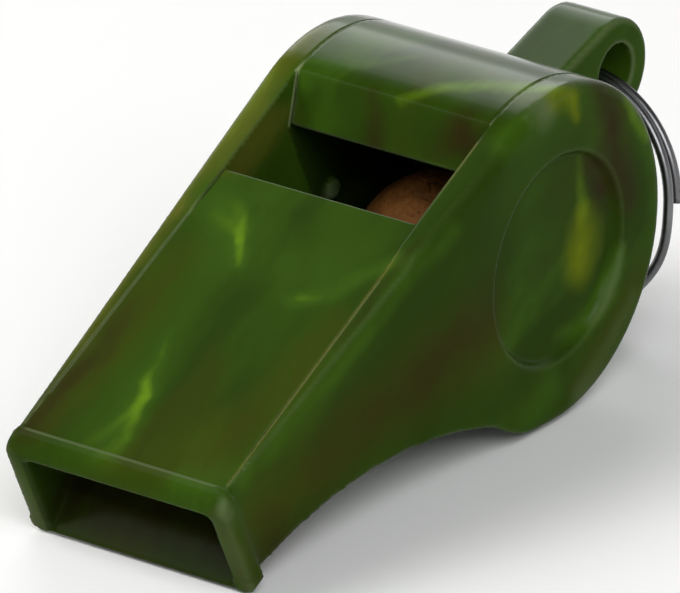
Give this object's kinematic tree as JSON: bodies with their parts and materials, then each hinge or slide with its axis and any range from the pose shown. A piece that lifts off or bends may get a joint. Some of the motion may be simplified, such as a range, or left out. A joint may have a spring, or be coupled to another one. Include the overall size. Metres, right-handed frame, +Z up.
{
  "type": "pea whistle",
  "caption": "Marbled green plastic dog whistle with a flat mouthpiece, round barrel, cork pea in the chamber and a wire split ring on its rear lug.",
  "frame": {"origin": "on the floor under the middle of the whistle's length and width, with the whistle resting on its belly", "axes": "+Y runs from the mouth to the rear lug, +Z is up, +X points to the right cheek seen from behind the mouth"},
  "size_m": [0.02, 0.0574, 0.0239],
  "materials": {
    "marbled_plastic": "glossy moulded plastic, green marbled with yellow-green and olive streaks",
    "cork": "bare pressed cork",
    "ring_steel": "dull spring steel wire"
  },
  "bodies": {
    "whistle": {"body": "marbled_plastic", "windway_roof": "marbled_plastic", "barrel_cap": "marbled_plastic"},
    "pea": {"cork_pea": "cork"},
    "ring": {"split_ring": "ring_steel"}
  },
  "joints": [
    {"name": "pea_orbit", "type": "hinge", "parent": "whistle", "child": "pea", "pos_m": [0, 0.00774, 0.01195], "axis": [1, 0, 0], "continuous": true},
    {"name": "ring_swing", "type": "hinge", "parent": "whistle", "child": "ring", "pos_m": [0, 0.02494, 0.01727], "axis": [1, 0, 0], "range_deg": [-12, 236]}
  ]
}
